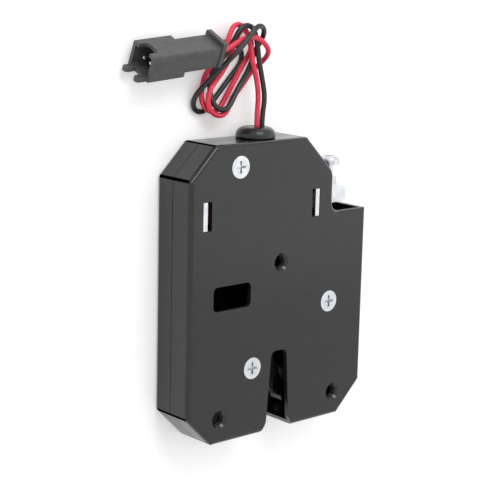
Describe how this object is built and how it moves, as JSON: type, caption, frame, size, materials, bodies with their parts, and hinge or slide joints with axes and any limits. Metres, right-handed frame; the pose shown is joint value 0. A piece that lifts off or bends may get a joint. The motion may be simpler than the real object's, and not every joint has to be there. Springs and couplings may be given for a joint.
{
  "type": "solenoid lock",
  "caption": "Flat cabinet lock in a folded steel case: a hook closes on a striker in the notch and a solenoid or a side screw lifts its catch.",
  "frame": {"origin": "centre of the case's rear face, on that face", "axes": "+Z out of the mounting face with the tapped holes, +Y towards the end that the wires leave, +X towards the side with the release screw"},
  "size_m": [0.0694, 0.1008, 0.0125],
  "materials": {
    "case_rear": "black zinc on folded sheet steel",
    "case_front": "black zinc on folded sheet steel",
    "pillar": "turned and zinc plated",
    "screw": "bright zinc",
    "hook": "hardened, dark and smooth",
    "spring": "spring steel wire",
    "lever": "bright zinc on stamped steel",
    "yoke": "bright zinc on folded steel",
    "core": "turned steel",
    "bobbin": "moulded",
    "winding": "enamelled copper wire",
    "grommet": "moulded, semi-matt",
    "wire_red": "smooth wire insulation",
    "wire_black": "smooth wire insulation",
    "plug": "moulded, fine matt",
    "contact": "tinned"
  },
  "bodies": {
    "lock": {"rear_shell": "case_rear", "front_shell": "case_front", "top_pillar": "pillar", "catch_pillar": "pillar", "hook_pillar": "pillar", "screw_top": "screw", "screw_right": "screw", "screw_left": "screw", "hook_washer": "pillar", "hook_spring": "spring", "hook_spring_post": "pillar", "catch_washer": "pillar", "catch_spring": "spring", "catch_spring_post": "pillar", "solenoid_frame": "yoke", "pole_piece": "core", "bobbin": "bobbin", "winding": "winding", "plunger_spring": "spring", "grommet": "grommet", "red_lead": "wire_red", "black_lead": "wire_black", "red_wire": "wire_red", "black_wire": "wire_black", "wire_coil": "wire_black", "red_tail": "wire_red", "black_tail": "wire_black", "plug_housing": "plug", "contact_red": "contact", "contact_black": "contact"},
    "hook": {"hook": "hook"},
    "catch": {"catch_lever": "lever", "release_screw": "screw"},
    "plunger": {"plunger": "core", "plunger_pin": "core"}
  },
  "joints": [
    {"name": "hook_turn", "type": "hinge", "parent": "lock", "child": "hook", "pos_m": [-0.0087, -0.01915, 0.0063], "axis": [0, 0, 1], "range_deg": [0, 45], "stiffness_Nm_per_rad": 0.01},
    {"name": "catch_turn", "type": "hinge", "parent": "lock", "child": "catch", "pos_m": [0.01665, -0.0059, 0.0063], "axis": [0, 0, 1], "range_deg": [-5.5, 0]},
    {"name": "plunger_slide", "type": "slide", "parent": "lock", "child": "plunger", "axis": [1, 0, 0], "range_m": [0, 0.0025]}
  ],
  "couplings": [
    {"joint": "plunger_slide", "follows": "catch_turn", "m_per_rad": -0.0259}
  ]
}
